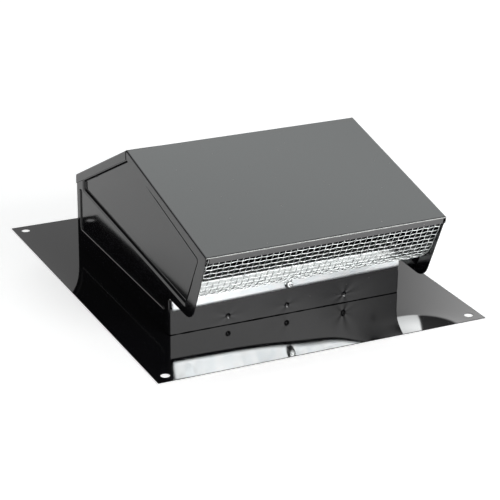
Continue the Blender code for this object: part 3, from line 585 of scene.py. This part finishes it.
def bareZinc(name, shift, crystal=0.007, gloss=0.3, spread=0.14, relief=0.00002,
             light=(0.86, 0.88, 0.87, 1), dark=(0.7, 0.73, 0.73, 1)):
    material, tree, shader, _, pattern = newFinish(name, shift)
    spangle = placeGroup(tree, zincSpangle, -500, 0, pattern, Crystal_Size=crystal, Gloss=gloss,
                         Gloss_Spread=spread, Relief=relief, Light_Zinc=light, Dark_Zinc=dark)
    link(tree, (spangle["Color"], shader["Base Color"]),
         (spangle["Roughness"], shader["Roughness"]), (spangle["Normal"], shader["Normal"]))
    shader["Metallic"].default_value = 1.0
    return material


def sealFoam(name):
    look = foamLook
    material, tree, shader, _, pattern = newFinish(name)
    pores = texture(tree, "Voronoi", -800, 0, pattern, look["pores"])["Distance"]
    colour = mixNode(tree, "RGBA", -500, 200, pores, look["dark"], look["light"])
    normal = bumpFrom(tree, -500, -200, pores, distance=look["depth"], strength=look["relief"])
    link(tree, (colour, shader["Base Color"]), (normal, shader["Normal"]))
    shader["Roughness"].default_value = look["roughness"]
    return material


# places on the sheets: mm across the object, back from the front wall, above the flashing

flashingSheet = 0.7 * mm
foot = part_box("front_wall")[0]         # its y is the front wall's face
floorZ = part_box("base_flashing")[0].z + flashingSheet
ridgeBack, ridgeTop = 109, 160.5
pastSheets = (-200, 200)               # wider than the object
pastTop = 200                          # and higher


def sheetPoint(x, y, z):
    return (x * mm, foot.y + y * mm, floorZ + z * mm)


def seamBox(across, back, above, unevenness=0.1):
    low, high = zip(across, back, above)
    return {"Low": sheetPoint(*low), "High": sheetPoint(*high), "Unevenness": unevenness * mm}


def bothSides(near, far):
    return [(-far, -near), (near, far)]


def warpHill(x, y, reachX, reachY, height):
    # measured from the flashing's middle
    return {"Middle": (x * mm, y * mm, 0), "Reach": (reachX * mm, reachY * mm, 20 * mm),
            "Height": height * mm}


# the front wall's three clinched dimples, with the creases round them
frontDents = [{"Middle": sheetPoint(x, 0, 9.8), "Reach": (15 * mm, 15 * mm, 11 * mm),
               "Height": -0.2 * mm, "Arms": arms, "Star": 0.18}
              for x, arms in ((-66, 5.0), (0, 4.0), (66, 6.0))]
# the flashing's bow: it bends what the flashing mirrors
flashingWarp = [
    warpHill(-2.9, -262, 41.2, 57.9, 3.8),
    warpHill(41, -262, 22.6, 57.9, 4.3),
    warpHill(-119.8, -239.7, 86, 22, 2.2),
    warpHill(100, -232, 24, 25, 6.5),
    warpHill(-210, 0, 20, 120, 3.5),
]
# painted shade in the gap under the front wall's foot
wallFootShade = [seamBox((-140, 140), (-10, 30), (-2, 0.7), 1.1)]
# painted shade inside the slits in the side walls at the ridge and behind the lip, where no light
# gets in
slitShade = [
    seamBox(pastSheets, (ridgeBack - 2.4, ridgeBack + 2.4), (ridgeTop - 10, pastTop)),
    seamBox(pastSheets, (-92, -84), (108, pastTop)),
]
# painted highlight along the hood's front fold, above the lip
frontFoldHighlight = [seamBox((-129.5, 129.5), (-90.2, -88.3), (116.6, 119), 0.3)]
# painted shade in the open notch between the lip's end and the wing, over the lip's end face, and
# in the split in the flange at the ridge
hoodGapShade = [seamBox(side, (-92, -85.5), (106, 116.2)) for side in bothSides(126.6, 129.6)]
hoodGapShade += [seamBox(side, (ridgeBack - 1.1, ridgeBack + 1.1), (149, pastTop))
             for side in bothSides(129.2, 132)]

wallPaint = {"wave": 0.14, "depth": 0.00008, "film": 0.003, "speckShare": 0.02,
             "shadeBoxes": slitShade}
paintedSheets = {
    "base_flashing": {"shift": (0.31, 0.12, 0.0), "wave": 0.16, "depth": 0.00025, "film": 0.003,
                      "speckShare": 0.02, "gloss": 0.02, "hills": flashingWarp},
    "side_wall_left": {"shift": (1.7, 0.4, 0.2), **wallPaint},
    "side_wall_right": {"shift": (2.3, 0.9, 0.6), **wallPaint},
    "front_wall": {"shift": (3.1, 1.3, 0.9), "wave": 0.09, "depth": 0.00008, "hills": frontDents,
                   "shadeBoxes": wallFootShade},
    "rear_wall": {"shift": (4.2, 1.8, 1.1), "wave": 0.13},
    "hood_top": {"shift": (5.5, 2.2, 1.4), "wave": 0.2, "foldHighlights": frontFoldHighlight, "shadeBoxes": hoodGapShade},
}
zincPieces = {
    "damper_sill": {"shift": (0.2, 0.1, 0.5), "crystal": 0.009, "gloss": 0.28},
    "damper_rod": {"shift": (2.2, 0.6, 0.1), "crystal": 0.002, "gloss": 0.25},
    "rod_lug_left": {"shift": (3.3, 0.8, 0.4), "crystal": 0.005, "gloss": 0.32},
    "rod_lug_right": {"shift": (4.4, 1.1, 0.7), "crystal": 0.005, "gloss": 0.32},
    "rod_clip_left": {"shift": (5.5, 1.4, 0.9), "crystal": 0.003, "gloss": 0.28},
    "rod_clip_right": {"shift": (6.6, 1.7, 1.2), "crystal": 0.003, "gloss": 0.28},
}


def paint(node, material):
    slots = nodes[node].material_slots
    for slot in slots:
        slot.material = material
    if not slots:
        nodes[node].data.materials.append(material)


for node, look in paintedSheets.items():
    paint(node, glossBlack(node + "Paint", **look))
paint("damper_flap", mattBlack("flapPrimerAndShade"))
for node, look in zincPieces.items():
    paint(node, bareZinc(node + "Zinc", **look))
paint("flap_seal", sealFoam("sealFoam"))
print("finishes made")


# wire cloth: woven flat, bent over its profile, pressed in beside the wedges

wireCloth = {
    "Wire Thickness": 0.62 * mm,
    "Row Pitch": 5.9 * mm,
    "Column Pitch": 6.35 * mm,
    "First Row": 0.6 * mm,
    "First Column": -125.8 * mm,
    "Half Width": 128.3 * mm,
    "Weave": 0.3 * mm,
    "Points Per Cell": 4,
    "Wire Sides": 6,
    "Bend Points": 12,
    "Side Step": 2.8 * mm,
    "Step Starts": 108 * mm,            # out from the middle
    "Step Ends": 128 * mm,
    "Wedge Foot": (0, -160.0 * mm, 47.4 * mm),
    "Wedge Top": (0, -193.0 * mm, 109.8 * mm),
    "Press Starts": 12 * mm,            # in front of the line from the wedge's foot to its top
    "Press Ends": 2 * mm,
}
# back from the front wall, height above the flashing, bend radius
clothProfile = [(-85.6, 115.9, 0), (-58.5, 63.6, 45), (-1.8, 42.9, 1.5), (-1.8, 31.5, 0)]


def geometryTree(name, values):
    tree = bpy.data.node_groups.new(name, "GeometryNodeTree")
    for side in ("OUTPUT", "INPUT"):
        tree.interface.new_socket(name="Geometry", in_out=side, socket_type="NodeSocketGeometry")
    for title, value in values.items():
        tree.interface.new_socket(name=title, in_out="INPUT", socket_type=socketKind(value))
    start = addNode(tree, "NodeGroupInput", -2000, 0)
    end = addNode(tree, "NodeGroupOutput", 2000, 0)
    return tree, start.outputs, end.inputs


def grow(piece, tree, values):
    modifier = piece.modifiers.new("growth", "NODES")
    modifier.node_group = tree
    for socket in tree.interface.items_tree:
        if socket.in_out == "INPUT" and socket.name in values:
            modifier[socket.identifier] = values[socket.name]
    return settle(piece)


def readAttribute(tree, x, y, name):
    node = addNode(tree, "GeometryNodeInputNamedAttribute", x, y, data_type="FLOAT")
    return setInputs(node, Name=name).outputs[0]


def vectorOf(tree, x, y, **parts):
    node = addNode(tree, "ShaderNodeCombineXYZ", x, y)
    for axis, value in parts.items():
        link(tree, (value, node.inputs[axis]))
    return node.outputs[0]


def wireRun(tree, given, y, ends, pitch, length, side):
    # one straight wire, marked with its side of the weave
    line = addNode(tree, "GeometryNodeCurvePrimitiveLine", -1300, y)
    for name, value in ends.items():
        link(tree, (value, line.inputs[name]))
    cells = mathNode(tree, "DIVIDE", -1460, y - 200, length, pitch)
    points = mathNode(tree, "MULTIPLY", -1300, y - 200, cells, given["Points Per Cell"])
    radius = mathNode(tree, "MULTIPLY", -1300, y - 350, given["Wire Thickness"], 0.5)
    count = addNode(tree, "GeometryNodeResampleCurve", -1100, y)
    circle = addNode(tree, "GeometryNodeCurvePrimitiveCircle", -1100, y - 200)
    sweep = setInputs(addNode(tree, "GeometryNodeCurveToMesh", -900, y), Fill_Caps=True)
    mark = setInputs(addNode(tree, "GeometryNodeStoreNamedAttribute", -700, y),
                     Name="weaveSide", Value=side)
    link(tree, (line.outputs[0], count.inputs["Curve"]), (points, count.inputs["Count"]),
         (given["Wire Sides"], circle.inputs["Resolution"]), (radius, circle.inputs["Radius"]),
         (count.outputs[0], sweep.inputs["Curve"]),
         (circle.outputs[0], sweep.inputs["Profile Curve"]),
         (sweep.outputs[0], mark.inputs["Geometry"]))
    return mark.outputs[0]


def repeated(tree, y, wire, axis, first, pitch, last):
    # as many copies as fit between the first and the last place
    room = mathNode(tree, "SUBTRACT", -1180, y + 200, last, first)
    steps = mathNode(tree, "DIVIDE", -1020, y + 200, room, pitch)
    whole = mathNode(tree, "FLOOR", -860, y + 200, steps)
    line = addNode(tree, "GeometryNodeMeshLine", -500, y - 150)
    copies = addNode(tree, "GeometryNodeInstanceOnPoints", -300, y)
    link(tree, (mathNode(tree, "ADD", -700, y + 200, whole, 1.0), line.inputs["Count"]),
         (vectorOf(tree, -700, y + 50, **{axis: first}), line.inputs["Start Location"]),
         (vectorOf(tree, -700, y - 50, **{axis: pitch}), line.inputs["Offset"]),
         (line.outputs[0], copies.inputs["Points"]), (wire, copies.inputs["Instance"]))
    return copies.outputs[0]


def makeClothTree(values):
    tree, given, end = geometryTree("wovenWireCloth", values)
    # the profile: a folded line whose points carry their bend radius
    folded = addNode(tree, "GeometryNodeMeshToCurve", -1800, 400)
    bend = readAttribute(tree, -1800, 250, "bend")
    profile = addNode(tree, "GeometryNodeFilletCurve", -1600, 400, mode="POLY")
    measured = addNode(tree, "GeometryNodeCurveLength", -1400, 500)
    link(tree, (given["Geometry"], folded.inputs[0]), (folded.outputs[0], profile.inputs["Curve"]),
         (bend, profile.inputs["Radius"]), (given["Bend Points"], profile.inputs["Count"]),
         (profile.outputs[0], measured.inputs[0]))
    length = measured.outputs[0]
    # columns run down the cloth, rows across it
    width = mathNode(tree, "MULTIPLY", -1700, -500, given["Half Width"], 2.0)
    left = mathNode(tree, "MULTIPLY", -1700, -650, given["Half Width"], -1.0)
    downwards = {"End": vectorOf(tree, -1500, 100, Y=length)}
    sideways = {"Start": vectorOf(tree, -1500, -650, X=left),
                "End": vectorOf(tree, -1500, -500, X=given["Half Width"])}
    column = wireRun(tree, given, 100, downwards, given["Row Pitch"], length, 1.0)
    row = wireRun(tree, given, -500, sideways, given["Column Pitch"], width, -1.0)
    columns = repeated(tree, 100, column, "X", given["First Column"], given["Column Pitch"],
                       given["Half Width"])
    rows = repeated(tree, -500, row, "Y", given["First Row"], given["Row Pitch"], length)
    both = addNode(tree, "GeometryNodeJoinGeometry", -100, -200)
    flat = addNode(tree, "GeometryNodeRealizeInstances", 80, -200)
    link(tree, (columns, both.inputs[0]), (rows, both.inputs[0]), (both.outputs[0], flat.inputs[0]))
    # over and under: each wire leaves the middle by a cosine of its place
    place = partsOf(tree, 240, 300, addNode(tree, "GeometryNodeInputPosition", 80, 300).outputs[0])
    waves = []
    for y, axis, title in ((500, "X", "Column"), (300, "Y", "Row")):
        out = mathNode(tree, "SUBTRACT", 400, y, place[axis], given["First " + title])
        cells = mathNode(tree, "DIVIDE", 560, y, out, given[title + " Pitch"])
        angle = mathNode(tree, "MULTIPLY", 720, y, cells, math.pi)
        waves.append(mathNode(tree, "COSINE", 880, y, angle))
    swing = mathNode(tree, "MULTIPLY", 1040, 400, *waves)
    side = readAttribute(tree, 880, 150, "weaveSide")
    swing = mathNode(tree, "MULTIPLY", 1040, 200, swing, side)
    swing = mathNode(tree, "MULTIPLY", 1200, 300, swing, given["Weave"])
    outward = mathNode(tree, "ADD", 1360, 300, swing, place["Z"])
    # the flat cloth is laid along the profile
    along = addNode(tree, "GeometryNodeSampleCurve", 400, -500, mode="LENGTH")
    facing = vectorMath(tree, "CROSS_PRODUCT", 600, -600, (1, 0, 0), along.outputs["Tangent"])
    rise = vectorMath(tree, "SCALE", 1360, 100, facing, scale=outward)
    link(tree, (profile.outputs[0], along.inputs["Curves"]), (place["Y"], along.inputs["Length"]))
    # beside the wedges the last cells are squeezed
    slope = vectorMath(tree, "SUBTRACT", 400, -900, given["Wedge Top"], given["Wedge Foot"])
    slope = partsOf(tree, 560, -900, slope)
    reached = vectorMath(tree, "SUBTRACT", 600, -750, along.outputs["Position"],
                         given["Wedge Foot"])
    reached = partsOf(tree, 740, -750, reached)
    lean = mathNode(tree, "DIVIDE", 740, -950, slope["Y"], slope["Z"])
    edge = mathNode(tree, "MULTIPLY", 900, -900, lean, reached["Z"])
    ahead = mathNode(tree, "SUBTRACT", 1060, -850, edge, reached["Y"])
    pressed = mapRange(tree, 1220, -850, ahead, given["Press Ends"], given["Press Starts"],
                       1.0, 0.0)
    out = mathNode(tree, "ABSOLUTE", 1060, -600, place["X"])
    outer = mapRange(tree, 1220, -600, out, given["Step Starts"], given["Step Ends"], 0.0, 1.0)
    squeeze = mathNode(tree, "MULTIPLY", 1400, -600, pressed, outer)
    squeeze = mathNode(tree, "MULTIPLY", 1400, -700, squeeze, given["Side Step"])
    inward = mathNode(tree, "MULTIPLY", 1560, -600, squeeze,
                      mathNode(tree, "SIGN", 1400, -450, place["X"]))
    across = mathNode(tree, "SUBTRACT", 1560, -350, place["X"], inward)
    laid = vectorMath(tree, "ADD", 1460, -100, along.outputs["Position"], rise)
    laid = vectorMath(tree, "ADD", 1560, 0, laid, vectorOf(tree, 1560, -200, X=across))
    shaped = addNode(tree, "GeometryNodeSetPosition", 1700, 0)
    smooth = addNode(tree, "GeometryNodeSetShadeSmooth", 1800, 0)
    finish = addNode(tree, "GeometryNodeSetMaterial", 1900, 0)
    link(tree, (flat.outputs[0], shaped.inputs["Geometry"]), (laid, shaped.inputs["Position"]),
         (shaped.outputs[0], smooth.inputs[0]), (smooth.outputs[0], finish.inputs["Geometry"]),
         (given["Wire Finish"], finish.inputs["Material"]), (finish.outputs[0], end[0]))
    return tree


def makeWireCloth():
    line = bpy.data.meshes.new("clothProfile")
    corners = [sheetPoint(0, back, height) for back, height, _ in clothProfile]
    line.from_pydata(corners, [(i, i + 1) for i in range(len(corners) - 1)], [])
    bends = line.attributes.new("bend", "FLOAT", "POINT")
    for item, (_, _, radius) in zip(bends.data, clothProfile):
        item.value = radius * mm
    wires = bareZinc("wireZinc", (8.8, 2.3, 1.8), crystal=0.0015, gloss=0.3, relief=0.000004)
    values = {**wireCloth, "Wire Finish": wires}
    piece = grow(addPiece("wire_cloth", line), makeClothTree(values), values)
    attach(piece, "cap_body")
    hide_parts("bird_screen")
    print("wire cloth woven:", len(piece.data.polygons), "faces")


makeWireCloth()


# strip that clamps the cloth, a little askew about its screw

clampStrip = {
    "height": 11.5 * mm,
    "middle": 35.05 * mm,               # above the flashing
    "endGap": 0.15 * mm,
    "tilt": math.radians(0.95),
    "bow": 0.06 * mm,                   # out from the wall, between its screw and its ends
    "bowRoom": 0.2 * mm,                # kept free of sheet in the strip's depth
    "buckle": (0.35, 19),               # share of the bow, and how many across
    "columns": 72,
    "rows": 4,
    "edge": 0.2 * mm,
    "edgeSteps": 2,
    "sharpAngle": math.radians(25),
    "screwHeight": 34.4 * mm,
    "hole": 2.5 * mm,                   # radius
    "holeSides": 24,
    "drillLength": 20 * mm,
}
stripZinc = {"shift": (1.2, 0.3, 0.8), "crystal": 0.006, "gloss": 0.28, "spread": 0.04,
             "relief": 0.000003, "light": (0.96, 0.98, 0.98, 1), "dark": (0.88, 0.93, 0.95, 1)}


def stripShape(shape, low, high):
    look = clampStrip
    buckle, buckles = look["buckle"]
    cosine, sine = math.cos(look["tilt"]), math.sin(look["tilt"])
    grid = []
    for column in range(look["columns"] + 1):
        share = 2 * column / look["columns"] - 1
        x = (high.x - look["endGap"]) * share
        line = []
        for row in range(look["rows"] + 1):
            z = look["height"] * (row / look["rows"] - 0.5)
            wave = buckle * math.sin(buckles * share + row / 2)
            out = look["bow"] * (math.sin(math.pi * abs(share)) ** 2 + wave)
            line.append(shape.verts.new((x * cosine - z * sine,
                                         low.y + max(0.0, look["bowRoom"] - out),
                                         floorZ + look["middle"] + x * sine + z * cosine)))
        grid.append(line)
    for left, right in zip(grid, grid[1:]):
        for row in range(look["rows"]):
            shape.faces.new((left[row], right[row], right[row + 1], left[row + 1]))


def drillShape(shape, face):
    look = clampStrip
    place = Matrix.Translation((0, face, floorZ + look["screwHeight"]))
    bmesh.ops.create_cone(shape, cap_ends=True, segments=look["holeSides"], radius1=look["hole"],
                          radius2=look["hole"], depth=look["drillLength"],
                          matrix=place @ Matrix.Rotation(math.pi / 2, 4, "X"))


def makeStrip():
    low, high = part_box("screen_strip")
    piece = addPiece("clamp_strip", meshFrom(lambda shape: stripShape(shape, low, high)))
    thicken = piece.modifiers.new("thickness", "SOLIDIFY")
    thicken.thickness = high.y - low.y - clampStrip["bowRoom"]
    thicken.offset = -1
    rounding = piece.modifiers.new("edges", "BEVEL")
    rounding.width = clampStrip["edge"]
    rounding.segments = clampStrip["edgeSteps"]
    rounding.limit_method = "ANGLE"
    drill = addPiece("stripDrill", meshFrom(lambda shape: drillShape(shape, low.y)))
    cut = piece.modifiers.new("hole", "BOOLEAN")
    cut.object = drill
    settle(piece)
    bpy.data.objects.remove(drill)
    finishPiece(piece, bareZinc("stripZinc", **stripZinc), clampStrip["sharpAngle"])
    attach(piece, "cap_body")
    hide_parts("screen_strip")
    print("strip made")


makeStrip()


# hex washer-head screw in the middle of the strip

hexScrew = {
    # mm: radius and height above the strip's face, then 0 for a circle to 1 for a hexagon
    "headRings": [
        (4.4, 0, 0), (4.6, 0.12, 0), (4.6, 0.45, 0), (4.35, 0.6, 0),            # washer
        (3.55, 1.0, 0.8), (3.2, 1.2, 1), (3.2, 3.35, 1), (3.05, 3.78, 0.35),    # flats
        (2.65, 3.9, 0), (2.05, 3.9, 0), (1.9, 3.8, 0), (1.52, 3.4, 0),          # top and dimple
    ],
    "core": 1.6 * mm,                   # radius between the ridges of the thread
    "thread": 2.1 * mm,                 # radius on them
    "threadSlope": 3.2,
    "pitch": 1.4 * mm,
    "levelsPerTurn": 8,
    "length": 9 * mm,
    "tip": 3 * mm,
    "steps": 24,                        # round each ring
    "turn": math.radians(11),
    "sharpAngle": math.radians(32),
}
screwZinc = {"shift": (7.7, 2.0, 1.5), "crystal": 0.003, "gloss": 0.18, "relief": 0.000004}


def headRing(radius, height, hexShare):
    points = []
    for step in range(hexScrew["steps"]):
        angle = 2 * math.pi * step / hexScrew["steps"]
        fromFlat = abs(((angle + math.pi / 6) % (math.pi / 3)) - math.pi / 6)
        reach = radius * (1 - hexShare) + radius / math.cos(fromFlat) * hexShare
        points.append((reach * math.cos(angle), reach * math.sin(angle), height))
    return points


def threadRing(level):
    # the thread's ridge climbs one pitch a turn
    look = hexScrew
    turned = -level / look["levelsPerTurn"]
    points = []
    for step in range(look["steps"]):
        share = step / look["steps"]
        ridge = max(0.0, 1 - look["threadSlope"] * abs((turned - share) % 1 - 0.5))
        radius = look["core"] + (look["thread"] - look["core"]) * ridge
        angle = 2 * math.pi * share
        points.append((radius * math.cos(angle), radius * math.sin(angle), turned * look["pitch"]))
    return points


def screwShape(shape):
    look = hexScrew
    levels = int((look["length"] - look["tip"]) / look["pitch"] * look["levelsPerTurn"])
    rings = [threadRing(level) for level in range(levels, -1, -1)]
    rings += [headRing(radius * mm, height * mm, hexShare)
              for radius, height, hexShare in look["headRings"]]
    verts = [[shape.verts.new(point) for point in ring] for ring in rings]
    tip = shape.verts.new((0, 0, -look["length"]))
    centre = shape.verts.new((0, 0, look["headRings"][-1][1] * mm))
    pairs = [(i, (i + 1) % look["steps"]) for i in range(look["steps"])]
    for lower, upper in zip(verts, verts[1:]):
        for i, j in pairs:
            shape.faces.new((lower[i], lower[j], upper[j], upper[i]))
    for i, j in pairs:
        shape.faces.new((tip, verts[0][j], verts[0][i]))
        shape.faces.new((centre, verts[-1][i], verts[-1][j]))
    seat = (0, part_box("screen_strip")[0].y, floorZ + clampStrip["screwHeight"])
    shape.transform(Matrix.Translation(seat) @ Matrix.Rotation(math.pi / 2, 4, "X")
                    @ Matrix.Rotation(look["turn"], 4, "Z"))
    bmesh.ops.recalc_face_normals(shape, faces=shape.faces)


def makeScrew():
    piece = addPiece("hex_screw", meshFrom(screwShape))
    finishPiece(piece, bareZinc("screwZinc", **screwZinc), hexScrew["sharpAngle"])
    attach(piece, "cap_body")
    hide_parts("strip_screw")
    print("screw made")


makeScrew()
